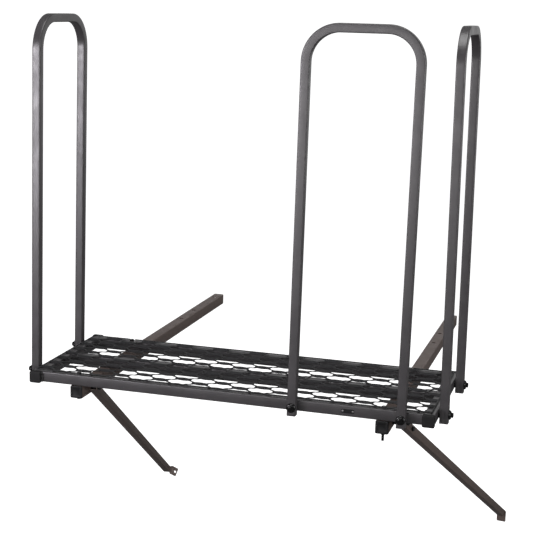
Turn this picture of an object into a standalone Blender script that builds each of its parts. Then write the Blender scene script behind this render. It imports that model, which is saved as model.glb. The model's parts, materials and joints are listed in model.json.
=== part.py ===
"""Firewood carrier deck: a steel frame with a mesh floor, three tall tube uprights,
two long mounting arms under the deck and two folding braces below the arms.

Deck coordinates, used by every dimension below: X runs along the deck from its middle,
Y runs back from the front rail's front face, and Z is height above the rails' top.
The model's origin is ORIGIN in those coordinates, between the arms' undersides where
they are bolted down. All lengths are in metres.
"""
import math

import bmesh
import bpy
from mathutils import Matrix, Vector

# Deck frame
DECK_LENGTH = 1.2192
DECK_DEPTH = 0.4500
RAIL = 0.03175
RAIL_WALL = 0.0020
RAIL_CORNER = 0.0025
MIDDLE_RAIL_Y = 0.2090
END_RAIL_REACH = 0.0120
CAP_WALL = 0.0020
CAP_GRIP = 0.0100
GAP = 0.0003

# Mesh floor
MESH_LENGTH = 1.2000
MESH_FRONT = 0.0080
MESH_BACK = 0.4420
MESH_THICKNESS = 0.0027
MESH_EDGE = 0.0040
CELL_PITCH_X = 0.1232
CELL_PITCH_Y = 0.0293
CELL_LENGTH = 0.0808
CELL_FLAT = 0.0404
CELL_HEIGHT = 0.0464
CELL_FIRST_X = -0.1508
CELL_FIRST_Y = 0.0400
CELL_MIN_DEPTH = 0.0100
BOLT_HEAD_ROOM = 0.0030

# Uprights
UPRIGHT = 0.0254
UPRIGHT_WALL = 0.0015
UPRIGHT_CORNER = 0.0030
UPRIGHT_BEND = 0.0920
UPRIGHT_SPACING = 0.3127
UPRIGHT_TOP = 1.0550
UPRIGHT_BOTTOM = -0.0400
UPRIGHT_STANDOFF = 0.0040
UPRIGHT_BOLT_Z = -0.0155
UPRIGHT_DRILL_REACH = 0.0700
BEND_STEPS = 7
FRONT_UPRIGHT_X = 0.3630
SIDE_UPRIGHT_Y = 0.2248

# How far each upright leans for each metre of height above the rails
UPRIGHT_LEANS = {
    "left": Vector((0.0123, 0.0, 0.0)),
    "right": Vector((-0.0078, 0.0, 0.0)),
    "front": Vector((0.0066, 0.0095, 0.0)),
}

# Arms under the deck
ARM = 0.0381
ARM_WALL = 0.0020
ARM_CORNER = 0.0030
ARM_X = 0.4635
ARM_LENGTH = 1.3470
ARM_CAP = 0.0040
ARM_PLUG_DEPTH = 0.0090
ARM_PLUG_CORNER = 0.0012
ARM_HOLES_Y = (0.9120, 1.0480, 1.2890)
ARM_HOLE_RADIUS = 0.0070
ARM_BOLTS_Y = (0.0180, 0.4341)

# Braces below the arms
BRACE = 0.0254
BRACE_WALL = 0.0020
BRACE_CORNER = 0.0032
BRACE_SLOPE = math.radians(30.4)
BRACE_SPLAY = math.radians(9.5)
BRACE_PIVOT_Y = 0.0640
BRACE_OFFSETS = {"left": 0.0090, "right": 0.0260}
BRACE_START = -0.0160
BRACE_END = 1.3680
BRACE_NOTCH_ROOM = 0.0030
BRACE_NOTCH_REACH = 0.3000
BRACE_CROSS_BOLT = 0.0650
PIVOT_SPACER_LEAST = 0.0020
PIVOT_SPACER_RADIUS = 0.0080
FOOT_BEND = 0.0090
FOOT_BEND_STEPS = 3
FOOT_LENGTHS = {"left": 0.0280, "right": 0.0400}
FOOT_WIDTH = 0.0340
LEFT_FOOT_ALONG = (0.74, 0.43, -0.51)
FOOT_HOLE_RADIUS = 0.0045
FOOT_HOLE_INSET = 0.0090

# Fasteners
BOLT_RADIUS = 0.0039
BOLT_HOLE_RADIUS = 0.0046
HEX_FLATS = 0.0130
HEAD_HEIGHT = 0.0053
HEAD_CROWN_SHARE = 0.80
NUT_HEIGHT = 0.0065
STUD_BEYOND_NUT = 0.0030
FRONT_STUDS_BEYOND_NUT = {"left": 0.0005, "right": 0.0190}
CUP_RADIUS = 0.0140
CUP_HEIGHT = 0.0065
SPACER_RADIUS = 0.0110
ROUND_SIDES = 12
CUP_SIDES = 16

# Blank label plate on the front rail
LABEL_X = 0.3640
LABEL_LENGTH = 0.0370
LABEL_HEIGHT = 0.0120
LABEL_THICKNESS = 0.0010

# Origin: between the arms' undersides, level with the middle hole
ARM_TOP = -RAIL - GAP
ARM_MIDDLE = ARM_TOP - ARM / 2
ORIGIN = Vector((0.0, ARM_HOLES_Y[1], ARM_TOP - ARM))

X_AXIS = Vector((1, 0, 0))
Y_AXIS = Vector((0, 1, 0))
Z_AXIS = Vector((0, 0, 1))


# ---------------------------------------------------------------- scene and materials

def clear_scene():
    for item in list(bpy.data.objects):
        bpy.data.objects.remove(item, do_unlink=True)


def make_material(name, colour, roughness, metallic):
    material = bpy.data.materials.new(name)
    material.use_nodes = True
    shader = material.node_tree.nodes["Principled BSDF"]
    shader.inputs["Base Color"].default_value = (*colour, 1.0)
    shader.inputs["Roughness"].default_value = roughness
    shader.inputs["Metallic"].default_value = metallic
    return material


def graphite_enamel():
    return make_material("graphite_enamel", (0.060, 0.058, 0.062), 0.45, 0.3)


def bronze_enamel():
    return make_material("bronze_enamel", (0.085, 0.072, 0.068), 0.45, 0.3)


def black_mesh_enamel():
    return make_material("black_mesh_enamel", (0.030, 0.030, 0.033), 0.5, 0.2)


def black_plastic():
    return make_material("black_plastic", (0.012, 0.012, 0.012), 0.5, 0.0)


def black_fastener():
    return make_material("black_fastener", (0.010, 0.010, 0.011), 0.3, 0.6)


def plated_steel():
    return make_material("plated_steel", (0.30, 0.30, 0.31), 0.35, 1.0)


# ---------------------------------------------------------------- outlines

def rounded_square(side, corner, steps):
    """Points round a square with rounded corners, steps + 1 points to a corner."""
    centre = side / 2 - corner
    points = []
    for quarter in range(4):
        start = quarter * math.pi / 2
        sign_x = 1 if quarter in (0, 3) else -1
        sign_y = 1 if quarter in (0, 1) else -1
        for step in range(steps + 1):
            angle = start + step * math.pi / 2 / steps
            x = sign_x * centre + corner * math.cos(angle)
            y = sign_y * centre + corner * math.sin(angle)
            points.append((x, y))
    return points


def circle(radius, sides=ROUND_SIDES):
    return [(radius * math.cos(2 * math.pi * i / sides), radius * math.sin(2 * math.pi * i / sides))
            for i in range(sides)]


def hexagon(flats):
    """A hexagon's corners and the middles of its sides, to match a 12-sided circle."""
    points = []
    for i in range(12):
        angle = 2 * math.pi * i / 12
        radius = flats / 2 if i % 2 else flats / math.sqrt(3)
        points.append((radius * math.cos(angle), radius * math.sin(angle)))
    return points


def rectangle(width, height):
    x = width / 2
    y = height / 2
    return [(x, -y), (x, y), (-x, y), (-x, -y)]


# ---------------------------------------------------------------- solids from outlines

def frame_along(origin, along, side_hint=None):
    """A matrix whose Z runs along a direction, with X as near as it can be to side_hint."""
    z_axis = Vector(along).normalized()
    if side_hint is None:
        side_hint = X_AXIS if abs(z_axis[0]) < 0.5 else Z_AXIS
    x_axis = (side_hint - z_axis * side_hint.dot(z_axis)).normalized()
    y_axis = z_axis.cross(x_axis)
    matrix = Matrix.Identity(4)
    for row in range(3):
        matrix[row][0] = x_axis[row]
        matrix[row][1] = y_axis[row]
        matrix[row][2] = z_axis[row]
        matrix[row][3] = origin[row]
    return matrix


def add_ring(bm, outline, matrix):
    return [bm.verts.new(matrix @ Vector((x, y, 0.0))) for x, y in outline]


def bridge(bm, ring_a, ring_b):
    count = len(ring_a)
    for i in range(count):
        j = (i + 1) % count
        bm.faces.new((ring_a[i], ring_a[j], ring_b[j], ring_b[i]))


def loft(sections):
    """A solid through matching outlines, each given with the matrix that places it."""
    bm = bmesh.new()
    rings = [add_ring(bm, outline, matrix) for outline, matrix in sections]
    for ring_a, ring_b in zip(rings, rings[1:]):
        bridge(bm, ring_a, ring_b)
    bm.faces.new(list(reversed(rings[0])))
    bm.faces.new(rings[-1])
    return bm


def sweep_tube(outer, inner, matrices):
    """A tube open at both ends, swept through a row of matrices."""
    bm = bmesh.new()
    outside = [add_ring(bm, outer, matrix) for matrix in matrices]
    inside = [add_ring(bm, inner, matrix) for matrix in matrices]
    for ring_a, ring_b in zip(outside, outside[1:]):
        bridge(bm, ring_a, ring_b)
    for ring_a, ring_b in zip(inside, inside[1:]):
        bridge(bm, ring_b, ring_a)
    bridge(bm, inside[0], outside[0])
    bridge(bm, outside[-1], inside[-1])
    return bm


def square_tube(side, wall, corner, start, end, side_hint=None, steps=1):
    along = Vector(end) - Vector(start)
    outer = rounded_square(side, corner, steps)
    inner = rounded_square(side - 2 * wall, max(corner - wall, 0.0004), steps)
    matrices = [frame_along(place, along, side_hint) for place in (start, end)]
    return sweep_tube(outer, inner, matrices)


def washer(radius, hole, thickness, place, along):
    ends = (Vector(place), Vector(place) + Vector(along).normalized() * thickness)
    matrices = [frame_along(end, along) for end in ends]
    return sweep_tube(circle(radius), circle(hole), matrices)


def hex_nut(place, along):
    ends = (Vector(place), Vector(place) + Vector(along).normalized() * NUT_HEIGHT)
    matrices = [frame_along(end, along) for end in ends]
    return sweep_tube(hexagon(HEX_FLATS), circle(BOLT_HOLE_RADIUS), matrices)


def hex_bolt(place, along, length):
    """A bolt whose head bears at a place, with its shank running along a direction."""
    direction = Vector(along).normalized()

    def at(distance):
        return frame_along(Vector(place) + direction * distance, direction)

    sections = [
        (hexagon(HEX_FLATS * HEAD_CROWN_SHARE), at(-HEAD_HEIGHT)),
        (hexagon(HEX_FLATS), at(-HEAD_HEIGHT * HEAD_CROWN_SHARE)),
        (hexagon(HEX_FLATS), at(0)),
        (circle(BOLT_RADIUS), at(0)),
        (circle(BOLT_RADIUS), at(length)),
    ]
    return loft(sections)


def scaled(outline, factor):
    return [(x * factor, y * factor) for x, y in outline]


def cup_washer(place, along):
    """A domed washer. It bears at place and bulges the other way from along."""
    direction = Vector(along).normalized()
    profile = [
        (CUP_RADIUS, 0.0),
        (CUP_RADIUS, CUP_HEIGHT * 0.35),
        (CUP_RADIUS * 0.86, CUP_HEIGHT * 0.80),
        (CUP_RADIUS * 0.62, CUP_HEIGHT),
        (BOLT_HOLE_RADIUS, CUP_HEIGHT),
        (BOLT_HOLE_RADIUS, 0.0),
    ]
    bm = bmesh.new()
    rings = []
    for radius, height in profile:
        matrix = frame_along(Vector(place) - direction * height, -direction)
        rings.append(add_ring(bm, circle(radius, CUP_SIDES), matrix))
    for ring_a, ring_b in zip(rings, rings[1:] + rings[:1]):
        bridge(bm, ring_a, ring_b)
    return bm


# ---------------------------------------------------------------- objects

def add_object(name, bm, material, pivot=None):
    """Make an object from deck coordinates, with its own origin at the pivot."""
    place = Vector(pivot) if pivot is not None else ORIGIN
    bmesh.ops.translate(bm, verts=bm.verts, vec=-place)
    bmesh.ops.recalc_face_normals(bm, faces=bm.faces)
    mesh = bpy.data.meshes.new(name)
    bm.to_mesh(mesh)
    bm.free()
    mesh.materials.append(material)
    mesh.shade_smooth()
    mesh.set_sharp_from_angle(angle=math.radians(30))
    item = bpy.data.objects.new(name, mesh)
    bpy.context.scene.collection.objects.link(item)
    item.location = place - ORIGIN
    return item


def add_cutter(name, bm):
    """A hidden guide object that a Boolean subtracts."""
    bmesh.ops.translate(bm, verts=bm.verts, vec=-ORIGIN)
    bmesh.ops.recalc_face_normals(bm, faces=bm.faces)
    mesh = bpy.data.meshes.new(name)
    bm.to_mesh(mesh)
    bm.free()
    cutter = bpy.data.objects.new(name, mesh)
    bpy.context.scene.collection.objects.link(cutter)
    cutter.hide_render = True
    cutter.display_type = "WIRE"
    return cutter


def cut(item, label, bm):
    cutter = add_cutter(f"cut_{item.name}_{label}", bm)
    modifier = item.modifiers.new(label, "BOOLEAN")
    modifier.operation = "DIFFERENCE"
    modifier.solver = "EXACT"
    modifier.object = cutter


def drill(item, label, holes):
    """Drill round holes, each given as start, end and radius in deck coordinates."""
    bm = bmesh.new()
    for start, end, radius in holes:
        along = Vector(end) - Vector(start)
        rings = [add_ring(bm, circle(radius), frame_along(place, along)) for place in (start, end)]
        bridge(bm, rings[0], rings[1])
        bm.faces.new(list(reversed(rings[0])))
        bm.faces.new(rings[1])
    cut(item, label, bm)


def bolt_hole(centre, axis, reach, radius=BOLT_HOLE_RADIUS):
    return (Vector(centre) - axis * reach, Vector(centre) + axis * reach, radius)


# ---------------------------------------------------------------- deck frame

def long_rail(name, front_y, material):
    half = DECK_LENGTH / 2 - RAIL - GAP
    centre_y = front_y + RAIL / 2
    bm = square_tube(RAIL, RAIL_WALL, RAIL_CORNER, (-half, centre_y, -RAIL / 2), (half, centre_y, -RAIL / 2))
    return add_object(name, bm, material)


def end_rail(name, side, material):
    x = side * (DECK_LENGTH / 2 - RAIL / 2)
    bm = square_tube(RAIL, RAIL_WALL, RAIL_CORNER, (x, -END_RAIL_REACH, -RAIL / 2),
                     (x, DECK_DEPTH + END_RAIL_REACH, -RAIL / 2))
    return add_object(name, bm, material)


def slip_cap(name, side, end_y, outward, material):
    """A rubber cap pushed over an end rail's end."""
    x = side * (DECK_LENGTH / 2 - RAIL / 2)
    outer = rounded_square(RAIL + 2 * CAP_WALL, RAIL_CORNER + CAP_WALL, 2)
    inner = rounded_square(RAIL + 2 * GAP, RAIL_CORNER + GAP, 2)
    along = Vector((0, -outward, 0))

    def at(distance):
        return frame_along(Vector((x, end_y, -RAIL / 2)) + along * distance, along)

    bm = bmesh.new()
    floor = -GAP
    rings = [
        add_ring(bm, scaled(outer, 0.93), at(floor - CAP_WALL)),
        add_ring(bm, outer, at(floor - CAP_WALL * 0.4)),
        add_ring(bm, outer, at(CAP_GRIP)),
        add_ring(bm, inner, at(CAP_GRIP)),
        add_ring(bm, inner, at(floor)),
    ]
    for ring_a, ring_b in zip(rings, rings[1:]):
        bridge(bm, ring_a, ring_b)
    bm.faces.new(list(reversed(rings[0])))
    bm.faces.new(rings[-1])
    return add_object(name, bm, material)


def deck_frame(material, cap_material):
    rails = {
        "front_rail": long_rail("front_rail", 0.0, material),
        "middle_rail": long_rail("middle_rail", MIDDLE_RAIL_Y, material),
        "back_rail": long_rail("back_rail", DECK_DEPTH - RAIL, material),
    }
    for word, side in (("left", -1), ("right", 1)):
        rails[f"end_rail_{word}"] = end_rail(f"end_rail_{word}", side, material)
        slip_cap(f"rail_cap_front_{word}", side, -END_RAIL_REACH, -1, cap_material)
        slip_cap(f"rail_cap_back_{word}", side, DECK_DEPTH + END_RAIL_REACH, 1, cap_material)
    return rails


# ---------------------------------------------------------------- mesh floor

def clip_outline(points, axis, limit, keep_below):
    """Cut an outline at a limit on one axis and keep one side."""
    kept = []
    count = len(points)

    def inside(point):
        return point[axis] <= limit if keep_below else point[axis] >= limit

    for i in range(count):
        a = points[i]
        b = points[(i + 1) % count]
        if inside(a):
            kept.append(a)
        if inside(a) != inside(b):
            share = (limit - a[axis]) / (b[axis] - a[axis])
            kept.append((a[0] + (b[0] - a[0]) * share, a[1] + (b[1] - a[1]) * share))
    return kept


def mesh_opening(x, y):
    """One long six-sided opening, trimmed where the mesh is sheared off."""
    tip = CELL_LENGTH / 2
    flat = CELL_FLAT / 2
    rise = CELL_HEIGHT / 2
    points = [(x + tip, y), (x + flat, y + rise), (x - flat, y + rise),
              (x - tip, y), (x - flat, y - rise), (x + flat, y - rise)]
    limit_x = MESH_LENGTH / 2 - MESH_EDGE
    for axis, limit, keep_below in ((0, limit_x, True), (0, -limit_x, False),
                                    (1, MESH_BACK - MESH_EDGE, True), (1, MESH_FRONT + MESH_EDGE, False)):
        if points:
            points = clip_outline(points, axis, limit, keep_below)
    if not points:
        return None
    wide = max(p[0] for p in points) - min(p[0] for p in points)
    deep = max(p[1] for p in points) - min(p[1] for p in points)
    return points if min(wide, deep) > CELL_MIN_DEPTH else None


def mesh_openings():
    openings = []
    for row in range(-2, 16):
        y = CELL_FIRST_Y + row * CELL_PITCH_Y
        shift = (row % 2) * CELL_PITCH_X / 2
        for column in range(-5, 7):
            opening = mesh_opening(CELL_FIRST_X + shift + column * CELL_PITCH_X, y)
            if opening:
                openings.append(opening)
    return openings


def mesh_deck(material):
    bm = bmesh.new()
    border = [(x, y + (MESH_FRONT + MESH_BACK) / 2) for x, y in rectangle(MESH_LENGTH, MESH_BACK - MESH_FRONT)]
    edges = []
    for outline in [border] + mesh_openings():
        verts = [bm.verts.new((x, y, GAP)) for x, y in outline]
        for i, vert in enumerate(verts):
            edges.append(bm.edges.new((vert, verts[(i + 1) % len(verts)])))
    bmesh.ops.triangle_fill(bm, edges=edges, use_beauty=True, use_dissolve=False, normal=(0, 0, 1))
    sheet = bmesh.ops.extrude_face_region(bm, geom=list(bm.faces))
    raised = [part for part in sheet["geom"] if isinstance(part, bmesh.types.BMVert)]
    bmesh.ops.translate(bm, verts=raised, vec=(0, 0, MESH_THICKNESS))
    item = add_object("mesh_deck", bm, material)
    clearance = HEX_FLATS / 2 + BOLT_HEAD_ROOM
    holes = [bolt_hole((side * ARM_X, y, 0.0), Z_AXIS, RAIL, clearance)
             for side in (-1, 1) for y in ARM_BOLTS_Y]
    drill(item, "bolt_heads", holes)
    return item


# ---------------------------------------------------------------- uprights

def upright_path(centre, across, lean):
    """Points and directions up one leg, over the two bends and down the other leg.

    The legs stand upright beside the rail and lean from the rail's top on.
    """
    half = UPRIGHT_SPACING / 2
    level = UPRIGHT_TOP - UPRIGHT / 2
    stops = [(-half, UPRIGHT_BOTTOM, 90.0), (-half, 0.0, 90.0)]
    for side, first in ((-1, 90.0), (1, 0.0)):
        for step in range(BEND_STEPS + 1):
            heading = first - 90.0 * step / BEND_STEPS
            angle = math.radians(heading + 90.0)
            x = side * (half - UPRIGHT_BEND) + UPRIGHT_BEND * math.cos(angle)
            z = level - UPRIGHT_BEND + UPRIGHT_BEND * math.sin(angle)
            stops.append((x, z, heading))
    stops += [(half, 0.0, -90.0), (half, UPRIGHT_BOTTOM, -90.0)]
    path = []
    for distance, z, heading in stops:
        place = Vector(centre) + across * distance + Z_AXIS * z + lean * max(z, 0.0)
        along = across * math.cos(math.radians(heading)) + Z_AXIS * math.sin(math.radians(heading))
        path.append((place, along))
    return path


def upright(name, centre, across, lean, material):
    outward = across.cross(Z_AXIS)
    outer = rounded_square(UPRIGHT, UPRIGHT_CORNER, 2)
    inner = rounded_square(UPRIGHT - 2 * UPRIGHT_WALL, UPRIGHT_CORNER - UPRIGHT_WALL, 2)
    matrices = [frame_along(place, along, outward) for place, along in upright_path(centre, across, lean)]
    return add_object(name, sweep_tube(outer, inner, matrices), material)


def upright_fasteners(name, leg, inward, materials):
    """One leg's bolt, cup washer, spacer and nut. Leg is the leg's centre line."""
    face = Vector((leg[0], leg[1], UPRIGHT_BOLT_Z)) - inward * (UPRIGHT / 2)
    rail_face = face + inward * (UPRIGHT + UPRIGHT_STANDOFF)
    reach = CUP_HEIGHT + GAP + UPRIGHT + UPRIGHT_STANDOFF + RAIL + GAP + NUT_HEIGHT + STUD_BEYOND_NUT
    add_object(f"cup_washer_{name}", cup_washer(face - inward * GAP, inward), materials["fastener"])
    add_object(f"upright_bolt_{name}", hex_bolt(face - inward * (CUP_HEIGHT + 2 * GAP), inward, reach),
               materials["fastener"])
    add_object(f"spacer_{name}", washer(SPACER_RADIUS, BOLT_HOLE_RADIUS, UPRIGHT_STANDOFF - 2 * GAP,
                                        rail_face - inward * (UPRIGHT_STANDOFF - GAP), inward),
               materials["plastic"])
    add_object(f"upright_nut_{name}", hex_nut(rail_face + inward * (RAIL + GAP), inward),
               materials["fastener"])


def uprights(rails, materials):
    """The three uprights, their fasteners and the matching holes in the rails."""
    outside_x = DECK_LENGTH / 2 + UPRIGHT_STANDOFF + UPRIGHT / 2
    half = UPRIGHT_SPACING / 2
    front_y = -UPRIGHT_STANDOFF - UPRIGHT / 2
    plans = (
        ("left", "end_rail_left", Vector((-outside_x, SIDE_UPRIGHT_Y, 0)), Y_AXIS, X_AXIS),
        ("right", "end_rail_right", Vector((outside_x, SIDE_UPRIGHT_Y, 0)), Y_AXIS, -X_AXIS),
        ("front", "front_rail", Vector((FRONT_UPRIGHT_X, front_y, 0)), X_AXIS, Y_AXIS),
    )
    for word, rail, centre, across, inward in plans:
        item = upright(f"upright_{word}", centre, across, UPRIGHT_LEANS[word], materials["graphite"])
        holes = []
        for number, side in ((1, -1), (2, 1)):
            leg = centre + across * (side * half)
            upright_fasteners(f"{word}_{number}", leg, inward, materials)
            holes.append(bolt_hole((leg[0], leg[1], UPRIGHT_BOLT_Z), inward, UPRIGHT_DRILL_REACH))
        drill(item, "bolts", holes)
        drill(rails[rail], "upright_bolts", holes)


# ---------------------------------------------------------------- arms

def arm(word, side, materials):
    x = side * ARM_X
    bm = square_tube(ARM, ARM_WALL, ARM_CORNER, (x, 0.0, ARM_MIDDLE), (x, ARM_LENGTH, ARM_MIDDLE), steps=2)
    item = add_object(f"arm_{word}", bm, materials["bronze"])
    holes = [bolt_hole((x, y, ARM_MIDDLE), Z_AXIS, ARM, ARM_HOLE_RADIUS) for y in ARM_HOLES_Y]
    holes += [bolt_hole((x, y, ARM_MIDDLE), Z_AXIS, ARM) for y in ARM_BOLTS_Y]
    drill(item, "vertical_holes", holes)
    drill(item, "pivot_hole", [bolt_hole((x, BRACE_PIVOT_Y, ARM_MIDDLE), X_AXIS, ARM)])
    return item


def arm_cap(word, side, material):
    """A push-in end plug: a square flange with a shorter plug inside the tube."""
    x = side * ARM_X
    flange = rounded_square(ARM, ARM_CORNER, 2)
    plug = rounded_square(ARM - 2 * ARM_WALL - 2 * GAP, ARM_PLUG_CORNER, 2)

    def at(y):
        return frame_along((x, y, ARM_MIDDLE), Y_AXIS)

    sections = [(scaled(flange, 0.95), at(-GAP - ARM_CAP)), (flange, at(-GAP - ARM_CAP * 0.7)),
                (flange, at(-GAP)), (plug, at(-GAP)), (plug, at(ARM_PLUG_DEPTH))]
    return add_object(f"arm_cap_{word}", loft(sections), material)


def arm_fasteners(word, side, materials):
    """Vertical bolts through the deck rail and the arm, with a nut below."""
    x = side * ARM_X
    studs = (("front", ARM_BOLTS_Y[0], FRONT_STUDS_BEYOND_NUT[word]), ("back", ARM_BOLTS_Y[1], STUD_BEYOND_NUT))
    for end, y, stud in studs:
        reach = RAIL + ARM + 3 * GAP + NUT_HEIGHT + stud
        add_object(f"arm_bolt_{end}_{word}", hex_bolt((x, y, GAP), -Z_AXIS, reach), materials["fastener"])
        add_object(f"arm_nut_{end}_{word}", hex_nut((x, y, ARM_TOP - ARM - GAP), -Z_AXIS),
                   materials["fastener"])


def arms(rails, materials):
    items = {}
    for word, side in (("left", -1), ("right", 1)):
        items[word] = arm(word, side, materials)
        arm_cap(word, side, materials["plastic"])
        arm_fasteners(word, side, materials)
    for rail, y in (("front_rail", ARM_BOLTS_Y[0]), ("back_rail", ARM_BOLTS_Y[1])):
        holes = [bolt_hole((side * ARM_X, y, -RAIL / 2), Z_AXIS, RAIL) for side in (-1, 1)]
        drill(rails[rail], "arm_bolts", holes)
    return items


# ---------------------------------------------------------------- braces

def brace_direction(splay):
    level = math.cos(BRACE_SLOPE)
    return Vector((level * math.sin(splay), level * math.cos(splay), -math.sin(BRACE_SLOPE)))


def brace_tube(pivot, along, foot_wall, foot_along, foot_length):
    """A hollow tube whose lower end carries one wall on as a bent foot tab.

    foot_wall points out of the wall that runs on, foot_along runs down the tab.
    """
    start = pivot + along * BRACE_START
    end = pivot + along * BRACE_END
    outer = rounded_square(BRACE, BRACE_CORNER, 2)
    inner = rounded_square(BRACE - 2 * BRACE_WALL, BRACE_CORNER - BRACE_WALL, 2)
    bm = sweep_tube(outer, inner, [frame_along(place, along, foot_wall) for place in (start, end)])
    count = len(outer)
    bm.verts.ensure_lookup_table()
    outside = [bm.verts[i] for i in range(count, 2 * count)]
    inside = [bm.verts[i] for i in range(3 * count, 4 * count)]
    ring = [outside[-1], outside[0], inside[0], inside[-1]]
    end_face = next(face for face in bm.faces if set(face.verts) == set(ring))
    bm.faces.remove(end_face)
    wall = (foot_wall - along * foot_wall.dot(along)).normalized()
    side = along.cross(wall)
    place = end + wall * (BRACE - BRACE_WALL) / 2
    shares = [step / FOOT_BEND_STEPS for step in range(1, FOOT_BEND_STEPS + 1)]
    steps = [(share, FOOT_BEND / FOOT_BEND_STEPS) for share in shares] + [(1.0, foot_length)]
    for share, distance in steps:
        heading = along.slerp(foot_along, share)
        place = place + heading * distance
        across = (side - heading * side.dot(heading)).normalized()
        outward = across.cross(heading) * (BRACE_WALL / 2)
        half = across * (FOOT_WIDTH / 2 * share + (BRACE / 2 - BRACE_CORNER) * (1 - share))
        corners = (-half + outward, half + outward, half - outward, -half - outward)
        new_ring = [bm.verts.new(place + corner) for corner in corners]
        bridge(bm, ring, new_ring)
        ring = new_ring
    bm.faces.new(ring)
    hole_place = place - foot_along * FOOT_HOLE_INSET
    return bm, hole_place, outward.normalized()


def brace(word, side, foot_wall, foot_along, materials):
    pivot = Vector((side * ARM_X + ARM / 2 + BRACE_OFFSETS[word], BRACE_PIVOT_Y, ARM_MIDDLE))
    along = brace_direction(side * BRACE_SPLAY)
    bm, foot_hole, foot_normal = brace_tube(pivot, along, foot_wall, foot_along, FOOT_LENGTHS[word])
    item = add_object(f"brace_{word}", bm, materials["bronze"], pivot)
    drill(item, "pivot", [bolt_hole(pivot, X_AXIS, BRACE)])
    if side < 0:
        drill(item, "foot", [bolt_hole(foot_hole, foot_normal, BRACE_WALL * 2, FOOT_HOLE_RADIUS)])
    pivot_fasteners(word, side, materials)
    return item, pivot, along


def pivot_fasteners(word, side, materials):
    """The bolt through the arm that carries a brace, with its nut, and a spacer if there is room."""
    x = side * ARM_X
    centre = Vector((x, BRACE_PIVOT_Y, ARM_MIDDLE))
    tilt_room = HEX_FLATS * math.tan(BRACE_SPLAY) * 0.6
    half_width = BRACE / 2 / math.cos(BRACE_SPLAY)
    nut_x = ARM / 2 + BRACE_OFFSETS[word] + half_width + tilt_room + GAP
    reach = ARM / 2 + GAP + nut_x + NUT_HEIGHT + STUD_BEYOND_NUT
    add_object(f"pivot_bolt_{word}", hex_bolt(centre - X_AXIS * (ARM / 2 + GAP), X_AXIS, reach),
               materials["fastener"])
    spacer = BRACE_OFFSETS[word] - half_width - tilt_room - 2 * GAP
    if spacer > PIVOT_SPACER_LEAST:
        add_object(f"pivot_spacer_{word}", washer(PIVOT_SPACER_RADIUS, BOLT_HOLE_RADIUS, spacer,
                                                  centre + X_AXIS * (ARM / 2 + GAP), X_AXIS),
                   materials["plastic"])
    add_object(f"pivot_nut_{word}", hex_nut(centre + X_AXIS * nut_x, X_AXIS), materials["fastener"])


def arm_clearance(side):
    """The arm's outline with working room round it, to notch a brace that passes under it."""
    room = ARM + 2 * BRACE_NOTCH_ROOM
    outline = rectangle(room, room)
    places = ((side * ARM_X, 0.0, ARM_MIDDLE), (side * ARM_X, BRACE_NOTCH_REACH, ARM_MIDDLE))
    return loft([(outline, frame_along(place, Y_AXIS)) for place in places])


def cross_bolt(item, pivot, along, materials):
    """A bolt through the brace's two side walls, a little below the pivot."""
    centre = pivot + along * BRACE_CROSS_BOLT
    inward = -along.cross(Z_AXIS).normalized()
    face = centre - inward * (BRACE / 2 + GAP)
    reach = BRACE + 2 * GAP + NUT_HEIGHT + STUD_BEYOND_NUT
    drill(item, "cross_bolt", [bolt_hole(centre, inward, BRACE)])
    add_object("cross_bolt", hex_bolt(face, inward, reach), materials["fastener"], pivot)
    add_object("cross_nut", hex_nut(face + inward * (BRACE + 2 * GAP), inward),
               materials["fastener"], pivot)


def braces(materials):
    left_side = brace_direction(-BRACE_SPLAY).cross(Z_AXIS)
    left_foot = Vector(LEFT_FOOT_ALONG).normalized()
    left, _, _ = brace("left", -1, left_side, left_foot, materials)
    cut(left, "arm_notch", arm_clearance(-1))
    right, pivot, along = brace("right", 1, Z_AXIS, -Z_AXIS, materials)
    cross_bolt(right, pivot, along, materials)


# ---------------------------------------------------------------- label

def label_plate(material):
    """A blank plate with bevelled edges, on the front rail's face."""
    outline = rectangle(LABEL_LENGTH, LABEL_HEIGHT)
    places = [(LABEL_X, -GAP - LABEL_THICKNESS * share, -RAIL / 2) for share in (0.0, 0.7, 1.0)]
    scales = (1.0, 1.0, 0.96)
    sections = [(scaled(outline, size), frame_along(place, -Y_AXIS)) for place, size in zip(places, scales)]
    return add_object("label_plate", loft(sections), material)


def build():
    clear_scene()
    materials = {
        "graphite": graphite_enamel(),
        "bronze": bronze_enamel(),
        "mesh": black_mesh_enamel(),
        "plastic": black_plastic(),
        "fastener": black_fastener(),
        "plate": plated_steel(),
    }
    rails = deck_frame(materials["graphite"], materials["plastic"])
    mesh_deck(materials["mesh"])
    uprights(rails, materials)
    arms(rails, materials)
    braces(materials)
    label_plate(materials["plate"])


build()
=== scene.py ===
"""Looks of the firewood carrier deck: coated tube frame, expanded metal floor, three tube
uprights, two long arms and two folding braces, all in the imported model's own frame.

Lengths are in metres. Places come from the CAD nodes' boxes and from the joints.
"""

import json
import math

import bmesh
import bpy
from mathutils import Matrix, Vector


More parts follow.
